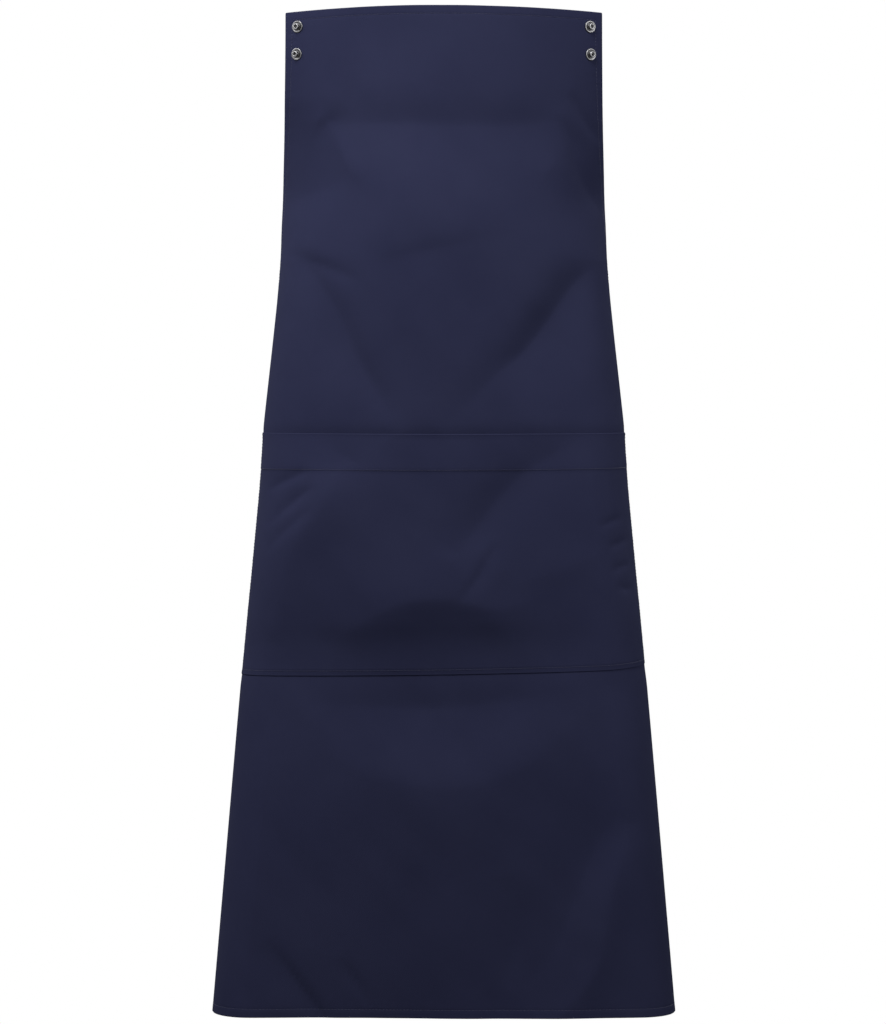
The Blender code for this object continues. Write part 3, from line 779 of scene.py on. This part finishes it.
wing_across, wing_height = wing_grid()
for side, side_name in SIDES:
    body = f"{side_name}_wing"
    across, height = side * wing_across[:, ::side], wing_height[:, ::side]
    seam_side = "left" if side > 0 else "right"
    seam = {seam_side: rim_loop(*across.shape)[1][seam_side][0]}
    wing = laid_cloth(f"{side_name}_wing_cloth", across, height, seam)
    wing.data.materials.append(twill)
    upper_end = 1.0 - STITCH_INSET / wing_length(WAIST)
    upper_across = 2.0 + np.linspace(0.0, 1.0, LINE_POINTS) ** WING_CROWDING * upper_end
    rear_rows = np.linspace(armhole(upper_across[-1], STITCH_INSET), STITCH_INSET, LINE_POINTS)
    rear_across = 3.0 - STITCH_INSET / wing_length(rear_rows)
    foot_across = np.linspace(rear_across[-1], 2.0, LINE_POINTS)
    line_across = np.concatenate((upper_across, rear_across[1:], foot_across[1:]))
    upper_rows = armhole(upper_across, STITCH_INSET)
    line_rows = np.concatenate((upper_rows, rear_rows[1:], np.full(LINE_POINTS - 1, STITCH_INSET)))
    wing_stitching = stitches(f"{side_name}_wing_stitches", both_faces(side * line_across, line_rows))
    foot, head = Vector(skin(side * 2.0, 0.0)), Vector(skin(side * 2.0, UNDERARM))
    line = (head - foot).normalized()
    rearward = Vector((0.0, 1.0, 0.0))
    rearward = (rearward - line * rearward.dot(line)).normalized()
    for piece, node in ((wing, body), (wing_stitching, f"{side_name}_wing_stitching")):
        foot + rearward * WING_BEND
        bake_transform(piece)
        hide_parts(node)
    columns = wing_length(wing_height) * (wing_across - 2.0)

# Pocket: one wide patch of the same twill. Its mouth is turned in to a deep sewn band and stands open a
# little, its sides and bottom are turned in and sewn to the front panel, and it bellies out above its
# bottom seam.
POCKET_BOTTOM, POCKET_DEPTH, POCKET_WIDTH = 0.288, 0.209, 0.40
MOUTH = POCKET_BOTTOM + POCKET_DEPTH
# About twice a side bend's length at the pocket, which turns lengths beside its seams into shares of its
# half width.
POCKET_BENDS = 0.118
POCKET_BAND = 0.031
POCKET_SEAM = 0.004
# The sewn edges are pressed over this width, to these shares of a layer and of the seat. The band is so many
# layers thick.
PRESSED, PRESSED_LAYERS, PRESSED_SEAT, BAND_LAYERS = 0.006, 0.6, 0.4, 1.6
# How far the mouth stands off the front panel and sags in its middle.
POCKET_GAPE, POCKET_SAG = 0.012, 0.004
# The room between two cloths that lie on each other, and how softly the pocket's folds stop there.
SEAT, SOFT_FLOOR = 0.0003, 0.0003
POCKET_DIP = 0.00010
# How fast the opening mouth's swing falls off towards its ends.
POCKET_SWING_FALL = 1.5
# The pocket's own folds, written as the front's are.
POCKET_FOLDS = (
    # A pouch at the left side, and three creases that run into the left seam.
    (
        ((-78, 388, 0), (-92, 412, 4.4), (-106, 434, 6.2), (-120, 454, 6.4))
        + ((-132, 480, 5.6), (-139, 510, 4), (-145, 545, 1)),
        38,
        38,
    ),
    (((-110, 396, 0), (-121, 401, -1.4), (-136, 408, -1.5), (-150, 416, 0)), 5, 6),
    (((-106, 410, 0), (-119, 419, -1.6), (-132, 431, -1.7), (-147, 446, 0)), 5, 7),
    (((-110, 428, 0), (-122, 440, -1.1), (-135, 453, -1.1), (-149, 470, 0)), 5, 7),
    # The slanting crease from the mouth's right end, and a short one at its foot.
    (
        ((122, 366, 0), (98, 380, -1.8), (70, 397, -3.8), (46, 421, -5))
        + ((27, 447, -4.2), (6, 473, 0)),
        36,
        20,
    ),
    (((46, 456, 0), (36, 472, -1.1), (26, 490, -1.2), (10, 512, 0)), 9, 4),
    # The belly above the bottom seam, and the swelling right of it.
    (
        ((-97, 547, 0), (-67, 526, 3.6), (-37, 510, 6), (-3, 505, 6.8), (22, 509, 6.4))
        + ((40, 514, 5.6), (58, 512, 3.6), (76, 505, 1.2), (92, 498, 0)),
        62,
        30,
    ),
    (((50, 496, 0), (72, 490, 2), (98, 482, 2.6), (124, 472, 1.8), (146, 462, 0)), 30, 60),
    # Short puckers beside the right seam.
    (((154, 436, 0), (142, 440, -0.9), (126, 447, 0)), 4, 4),
    (((158, 454, 0), (148, 459, -0.9), (136, 463, 0)), 4, 4),
    (((161, 476, 0), (150, 479, -0.9), (138, 484, 0)), 4, 4),
    (((164, 499, 0), (154, 498, -0.9), (144, 494, 0)), 4, 4),
)
pocket_folds = Relief(POCKET_FOLDS)
# The folds die out over these lengths, towards the sewn sides and towards the bottom seam.
POCKET_FOLD_FADE, POCKET_FOOT_FADE = 0.018, 0.042
# The bottom seam runs a little uphill to the right: its rise at the left end, the middle and the right end.
POCKET_TILT = (0.0, 0.0025, 0.009)


def pocket_spot(share, row):
    """Across and height on the front panel under a pocket place. Share is -1 at the left edge and 1 at the
    right."""
    middle = 1.0 - share * share
    up = (row - POCKET_BOTTOM) / POCKET_DEPTH
    left, centre, right = POCKET_TILT
    tilt = centre + (right - left) / 2 * share + ((left + right) / 2 - centre) * share * share
    height = row - POCKET_SAG * up * middle + tilt * (1.0 - up)
    return share * (2.0 - STITCH_INSET / side_length(row)), height


def from_side(share, row):
    """How far a pocket place is from the pocket's nearer side."""
    return (1.0 - np.abs(share)) * 2.0 * side_length(row)


def unpressed(share, row):
    """0 at the sewn edges, which are pressed flat, and 1 away from them."""
    return smooth(np.minimum(from_side(share, row), row - POCKET_BOTTOM) / PRESSED)


def pocket_layers(share, row):
    """The pocket's thickness: more in its band, and less at its sewn edges."""
    band = smooth((row - MOUTH + POCKET_BAND + HEM_STEP) / (3 * HEM_STEP) + 0.5)
    return CLOTH * mix(PRESSED_LAYERS, mix(1.0, BAND_LAYERS, band), unpressed(share, row))


def pocket_outer(share, row):
    """The pocket's outer face."""
    share, row = np.broadcast_arrays(np.asarray(share, float), np.asarray(row, float))
    across, height = pocket_spot(share, row)
    under = outer(across, height)
    beside = from_side(share, row)
    middle = np.maximum(1.0 - share * share, 0.0)
    gape = POCKET_GAPE * np.sin((row - POCKET_BOTTOM) / POCKET_DEPTH * math.pi / 2) * middle**2
    free = smooth((beside - POCKET_SEAM) / POCKET_FOLD_FADE)
    free = free * smooth((row - POCKET_BOTTOM - POCKET_SEAM) / POCKET_FOOT_FADE)
    rise = gape + pocket_folds.at(under[..., 0], LENGTH - height) * free
    rise = (rise + np.sqrt(rise * rise + SOFT_FLOOR * SOFT_FLOOR)) / 2
    rise = rise + sewn_relief(row - MOUTH + POCKET_BAND, under[..., 0], POCKET_DIP)
    rise = rise + sewn_relief(row - POCKET_BOTTOM - POCKET_SEAM, under[..., 0], POCKET_DIP)
    rise = rise + sewn_relief(beside - POCKET_SEAM, row, POCKET_DIP)
    seat = SEAT * mix(PRESSED_SEAT, 1.0, unpressed(share, row))
    lift = seat + rise + pocket_layers(share, row)
    return under + facing(skin, across, height) * lift[..., None]


def pocket_inner(share, row):
    depth = pocket_layers(share, row)[..., None]
    return pocket_outer(share, row) - facing(pocket_outer, share, row) * depth


def pocket_swing(share, row):
    """How far a pocket place goes with the opening mouth: its sewn edges stay where they are."""
    middle = np.maximum(1.0 - share * share, 0.0)
    return middle**POCKET_SWING_FALL * smooth((row - POCKET_BOTTOM - 2 * POCKET_SEAM) / POCKET_BAND)


POCKET_CELLS, POCKET_ROW_CELLS, BAND_CELLS = 96, 58, 12
EDGE_LINES = np.array((0.0, 0.0006, 0.002, 0.0032, 0.004, 0.0048, 0.006, 0.0072, 0.0078, 0.0095))
BAND_LINES = np.array((0.0302, 0.0307, 0.0310, 0.0314, 0.0320))
pocket_rows = np.concatenate(
    (
        POCKET_BOTTOM + EDGE_LINES,
        np.linspace(POCKET_BOTTOM + EDGE_LINES[-1], MOUTH - BAND_LINES[-1], POCKET_ROW_CELLS)[1:-1],
        MOUTH - BAND_LINES[::-1],
        np.linspace(MOUTH - BAND_LINES[0], MOUTH, BAND_CELLS + 1)[1:-1],
        MOUTH - EDGE_LINES[1::-1],
    )
)
edge_share = EDGE_LINES / POCKET_BENDS
middle_share = np.linspace(-1.0 + edge_share[-1], 1.0 - edge_share[-1], POCKET_CELLS)[1:-1]
pocket_shares = np.concatenate((-1.0 + edge_share, middle_share, 1.0 - edge_share[::-1]))
share, row = np.meshgrid(pocket_shares, pocket_rows)
faces = pocket_outer(share, row), pocket_inner(share, row)
normals = facing(pocket_outer, share, row), -facing(pocket_inner, share, row)
places = np.stack((share * (FLAT_HALF_WIDTH - wing_length(row)), row), axis=-1)
pocket = closed_cloth("pocket_cloth", faces, normals, places)
pocket.data.materials.append(twill)
pocket_foot = Vector(skin(0.0, POCKET_BOTTOM))
pocket_head = Vector(skin(0.0, MOUTH))
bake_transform(pocket)
swing = pocket_swing(share, row).ravel()
swing = np.concatenate((swing, swing, swing[rim_loop(*share.shape)[0]]))
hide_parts("pocket_panel")

mouth_share = np.linspace(-1.0, 1.0, LINE_POINTS) * (1.0 - POCKET_SEAM / POCKET_BENDS)
mouth_row = np.full(LINE_POINTS, MOUTH - POCKET_BAND)
mouth_line = pocket_outer(mouth_share, mouth_row)
mouth_face = (mouth_line, facing(pocket_outer, mouth_share, mouth_row))
mouth_stitching = stitches("pocket_band_stitches", [mouth_face])
side_rows = np.linspace(MOUTH, POCKET_BOTTOM + POCKET_SEAM, LINE_POINTS)
side_share = 1.0 - POCKET_SEAM / (2.0 * side_length(side_rows))
foot_share = np.linspace(-side_share[-1], side_share[-1], LINE_POINTS)
seam_share = np.concatenate((-side_share, foot_share[1:-1], side_share[::-1]))
seam_rows = np.concatenate((side_rows, np.full(LINE_POINTS - 2, side_rows[-1]), side_rows[::-1]))
seam_spot = pocket_spot(seam_share, seam_rows)
seam_faces = [
    (pocket_outer(seam_share, seam_rows), facing(pocket_outer, seam_share, seam_rows)),
    (inner(*seam_spot), -facing(inner, *seam_spot)),
]
seam_stitching = stitches("pocket_seam_stitches", seam_faces)
sewing = ((mouth_stitching, "pocket_mouth_stitching"), (seam_stitching, "pocket_seam_stitching"))
for piece, node in sewing:
    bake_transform(piece)
    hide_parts(node)
sideways = np.array([vertex.co.x for vertex in mouth_stitching.data.vertices])
swing = np.interp(sideways, mouth_line[:, 0], pocket_swing(mouth_share, mouth_row))

# Stays: patches of plain-woven tape behind each pair of studs, at the bib's corners and the wings' rear
# corners. The studs' posts clamp them to the cloth, so that a pull on a strap doesn't tear a stud out.
STAY_CLOTH = 0.0005
STAY_DROP, STAY_WIDTH = 0.052, 0.024
STAY_EDGE = 0.0082
STAY_CELLS = 30
tape = woven("stay_tape", (0.0150, 0.0160, 0.0360), (0.0250, 0.0270, 0.0560), 0.0007, 0.0, 0.6)


def stay_face(depth):
    def place(across, height):
        return draped(across, height) - facing(skin, across, height) * depth

    return place


def stay(node, body, across, height, places):
    """A patch against the cloth's inner face, from grids of across and height."""
    near, far = stay_face(CLOTH + SEAT), stay_face(CLOTH + SEAT + STAY_CLOTH)
    faces = near(across, height), far(across, height)
    normals = facing(near, across, height), -facing(far, across, height)
    piece = closed_cloth(f"{node}_tape", faces, normals, places)
    piece.data.materials.append(tape)
    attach(piece, body)
    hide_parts(node)


for side, side_name in SIDES:
    inset, drop = np.meshgrid(
        np.linspace(STITCH_INSET + STAY_WIDTH, STAY_EDGE, STAY_CELLS)[::side],
        np.linspace(STAY_DROP, STAY_EDGE, STAY_CELLS),
    )
    height = LENGTH - drop
    across = side * (2.0 - inset / side_length(height))
    places = np.stack((inset, height), axis=-1)
    stay(f"{side_name}_bib_stay", "apron", across, height, places)
    inset, drop = np.meshgrid(
        np.linspace(STITCH_INSET + STAY_DROP, STAY_EDGE, STAY_CELLS)[::side],
        np.linspace(STITCH_INSET + STAY_WIDTH, STAY_EDGE, STAY_CELLS),
    )
    across = 3.0 - inset / wing_length(WAIST)
    height = armhole(across, STAY_EDGE) - drop + STAY_EDGE
    places = np.stack((inset, -drop), axis=-1)
    stay(f"{side_name}_waist_stay", f"{side_name}_wing", side * across, height, places)

# Press studs: the male halves of snap fasteners in pressed nickel-plated brass, two at each bib corner and
# two at each wing's rear corner. A flanged post comes through from behind, and its rolled end holds the stud.
STUD_STEPS = 44
BIB_STUD_INSET = 0.012
BIB_STUD_DROPS = {"upper": 0.0125, "lower": 0.0360}
WAIST_STUD_DROP = 0.016
WAIST_STUD_INSETS = {"rear": 0.016, "front": 0.0395}
# Half sections in millimetres, as (radius, height, painted shade). Painted shade darkens a place's colour and
# roughens it: 1 in recesses where shade falls, and low on lips and crests, which keep a painted highlight.
STUD_SECTION = (
    # The foot that lies on the cloth, in painted shade, and the outer ring's rolled edge, with a painted
    # highlight along its crest.
    *((1.50, -0.10, 1.0), (4.60, -0.10, 0.8), (5.00, 0.00, 0.8), (5.17, 0.20, 0.8), (5.20, 0.45, 0.75)),
    *((5.10, 0.72, 0.65), (4.85, 0.92, 0.45), (4.50, 0.98, 0.4), (4.15, 0.90, 0.6), (3.85, 0.72, 0.8)),
    # The channel round the knob, and the knob's waist, both in painted shade.
    *((3.40, 0.62, 1.0), (2.90, 0.62, 1.0), (2.55, 0.72, 1.0), (2.33, 0.95, 1.0), (2.22, 1.35, 1.0)),
    # The knob's bulge in painted shade, its lip with a painted highlight, and the hole for the post in
    # painted shade.
    *((2.25, 1.80, 1.0), (2.42, 2.25, 1.0), (2.57, 2.60, 0.9), (2.60, 2.85, 0.7), (2.54, 3.15, 0.4)),
    *((2.38, 3.45, 0.1), (2.15, 3.63, 0.0), (1.90, 3.70, 0.0), (1.72, 3.64, 0.3), (1.60, 3.48, 0.8)),
    *((1.55, 3.20, 1.0), (1.50, 2.60, 1.0)),
)
POST_SECTION = (
    # The tube's bore, its rolled end in the stud and its outside, all in painted shade.
    *((0.80, -2.38, 0.9), (0.80, 2.60, 1.0), (0.84, 3.02, 1.0), (0.95, 3.17, 0.9), (1.10, 3.22, 0.8)),
    *((1.27, 3.16, 0.9), (1.38, 3.00, 1.0), (1.40, 2.70, 0.9), (1.30, 2.30, 1.0), (1.30, -1.70, 1.0)),
    # The flange behind the cloth.
    *((4.60, -1.70, 0.6), (4.90, -1.76, 0.3), (5.00, -1.92, 0.0), (4.93, -2.12, 0.0), (4.65, -2.28, 0.0)),
    *((3.80, -2.38, 0.0), (2.40, -2.44, 0.0), (1.50, -2.46, 0.0), (1.10, -2.45, 0.0), (0.90, -2.43, 0.3)),
)


def turned(name, section, seat):
    """A pressed ring, from its half section."""
    steps = np.arange(STUD_STEPS) * 2 * math.pi / STUD_STEPS
    profile = np.array(section)
    radius, rise = profile[:, None, 0], profile[:, None, 1]
    rise = np.broadcast_to(rise, (len(profile), STUD_STEPS))
    points = np.stack((radius * np.cos(steps), radius * np.sin(steps), rise), axis=-1)
    index = np.arange(points.shape[0] * STUD_STEPS).reshape(-1, STUD_STEPS)
    above, beside = np.roll(index, -1, axis=0), np.roll(index, -1, axis=1)
    faces = np.stack((index, beside, np.roll(above, -1, axis=1), above), axis=-1).reshape(-1, 4)
    mesh = smooth_mesh(name, points * MM, faces.tolist())
    mesh.transform(seat)
    # Each point's painted shade, from its section, which sets the plate's colour and roughness.
    painted_shade = mesh.attributes.new("painted_shade", "FLOAT", "POINT")
    painted_shade.data.foreach_set("value", np.repeat(profile[:, 2], STUD_STEPS))
    return put_in_scene(name, mesh)


def plated(name, bright, shade_colour):
    """Tumbled plate, darkened and roughened by painted shade in its recesses and left light as a painted
    highlight on its lips and crests, with a fine grain and faint handling marks.
    """
    material, start, shader = new_finish(name)
    painted_shade = start.node("ShaderNodeAttribute", {"attribute_name": "painted_shade"}, None, 2)
    place = start.node("ShaderNodeTexCoord", None, None, 3)
    grain = noise(start, place, 2600.0, 4.0, 0.6)
    marks = noise(start, place, 420.0, 3.0)
    # Painted shade: the colour goes from the plate's own colour towards a near-black shade colour in
    # recesses, and real handling marks shift it a little.
    share = start.node("ShaderNodeClamp", None, {"Value": painted_shade * 0.85 + (marks - 0.5) * 0.35})
    tinted(start, share, bright, shade_colour).into(shader, "Base Color")
    (0.16 + grain * 0.14 + marks * 0.12 + painted_shade * 0.10).into(shader, "Roughness")
    shader.inputs["Metallic"].default_value = 1.0
    bumpy(start, shader, grain + marks, 0.12, 0.0001)
    return material


# The first colour is the plate's own; the second, near black, is the painted shade for recesses.
nickel = plated("nickel_plate", (0.235, 0.235, 0.243), (0.016, 0.0155, 0.016))


def press_stud(name, body, across, height):
    """A stud on the cloth's outer face and its post."""
    normal = facing(skin, across, height)
    level = unit(np.cross((0.0, 0.0, 1.0), normal))
    axes = np.stack((level, np.cross(normal, level), normal), axis=-1)
    seat = Matrix.Translation(draped(across, height)) @ Matrix(axes.tolist()).to_4x4()
    for suffix, section in (("", STUD_SECTION), ("_post", POST_SECTION)):
        piece = turned(f"{name}{suffix}_metal", section, seat)
        piece.data.materials.append(nickel)
        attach(piece, body)
        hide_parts(name + suffix)


for side, side_name in SIDES:
    for level_name, drop in BIB_STUD_DROPS.items():
        height = LENGTH - drop
        spot = side * (2.0 - BIB_STUD_INSET / side_length(height))
        press_stud(f"{side_name}_{level_name}_bib_stud", "apron", spot, height)
    for place_name, inset in WAIST_STUD_INSETS.items():
        spot = side * (3.0 - inset / wing_length(WAIST))
        height = armhole(spot) - WAIST_STUD_DROP
        press_stud(f"{side_name}_{place_name}_waist_stud", f"{side_name}_wing", spot, height)

# Photographer's setting: the apron hangs clear of a pale floor in white surroundings. Most light comes from
# a large soft box at the upper left, with weaker ones at both sides and one behind. The floor fades into the
# white round its rim.
FLOOR, FLOOR_RADIUS, FLOOR_POINTS = -0.60, 2.3, 96
FLOOR_FADE_START, FLOOR_FADE_END = 0.55, 0.98
bpy.ops.mesh.primitive_circle_add(
    vertices=FLOOR_POINTS, radius=FLOOR_RADIUS, fill_type="NGON", location=(0.0, 0.0, FLOOR)
)
floor = bpy.context.object
floor.name = "studio_floor"


def seen_ray(start):
    """1 where the eye, a shiny surface or a clear one looks at the setting, and 0 where it only lights."""
    kinds = ("Is Camera Ray", "Is Glossy Ray", "Is Transmission Ray")
    eye, shiny, clear = (start.node("ShaderNodeLightPath", None, None, kind) for kind in kinds)
    return start.maths("MAXIMUM", start.maths("MAXIMUM", eye, shiny), clear)


material, start, shader = new_finish("floor_paper")
shader.inputs["Roughness"].default_value = 0.9
tinted(start, seen_ray(start), (0.30, 0.30, 0.30), (0.82, 0.82, 0.82)).into(shader, "Base Color")
place = start.node("ShaderNodeTexCoord", None, None, 3)
from_middle = start.node("ShaderNodeVectorMath", {"operation": "LENGTH"}, {0: place}, 1)
rim_start, rim_end = FLOOR_FADE_START * FLOOR_RADIUS, FLOOR_FADE_END * FLOOR_RADIUS
fade = ranged(start, from_middle, rim_start, rim_end, {"interpolation_type": "SMOOTHSTEP"})
clear = start.node("ShaderNodeBsdfTransparent")
paper = Field(start.tree, shader.outputs[0])
surface = start.node("ShaderNodeMixShader", None, {0: fade, 1: paper, 2: clear})
surface.into(start.tree.nodes["Material Output"], "Surface")
floor.data.materials.append(material)

scene = bpy.context.scene
scene.view_settings.view_transform = "Standard"
world = bpy.data.worlds.new("studio")
world.use_nodes = True
scene.world = world
start = Field(world.node_tree)
AMBIENT = 0.12
white = start.node("ShaderNodeBackground", None, {"Color": (1.0, 1.0, 1.0, 1.0), "Strength": 1.0})
soft = start.node("ShaderNodeBackground", None, {"Color": (1.0, 1.0, 1.0, 1.0), "Strength": AMBIENT})
surface = start.node("ShaderNodeMixShader", None, {0: seen_ray(start), 1: soft, 2: white})
surface.into(world.node_tree.nodes["World Output"], "Surface")
SPREAD = math.radians(110)


def soft_box(name, place, target, width, height, power):
    """A studio lamp with a soft rectangular face, which looks at a target."""
    lamp = bpy.data.lights.new(name, "AREA")
    lamp.shape = "RECTANGLE"
    lamp.size, lamp.size_y, lamp.energy, lamp.spread = width, height, power, SPREAD
    holder = bpy.data.objects.new(name, lamp)
    holder.location = place
    holder.rotation_euler = (Vector(target) - Vector(place)).to_track_quat("-Z", "Y").to_euler()
    scene.collection.objects.link(holder)


soft_box("key_box", (-0.52, -1.05, 2.05), (0.0, -0.1, 0.75), 0.9, 0.9, 16.4)
soft_box("side_box", (1.2, -0.9, 1.2), (0.0, -0.1, 0.50), 0.7, 0.7, 5.6)
soft_box("left_box", (-1.38, -0.32, 1.42), (-0.12, -0.1, 0.70), 0.6, 0.9, 5.6)
soft_box("rear_box", (0.9, 1.7, 1.5), (0.0, 0.0, 0.45), 1.4, 1.4, 15.0)

# Camera: level with the apron's middle, straight in front, and far enough away for a long lens.
FOCAL_PIXELS, FRAME_HEIGHT = 2603.0, 1024
SENSOR_WIDTH = 36.0
CAMERA_PLACE = (-0.0007, -2.318, 0.428)
camera = bpy.data.cameras.new("camera")
camera.sensor_width = SENSOR_WIDTH
camera.lens = camera.sensor_width * FOCAL_PIXELS / FRAME_HEIGHT
stand = bpy.data.objects.new("camera", camera)
stand.location = CAMERA_PLACE
stand.rotation_euler = (math.pi / 2, 0.0, 0.0)
scene.collection.objects.link(stand)
scene.camera = stand
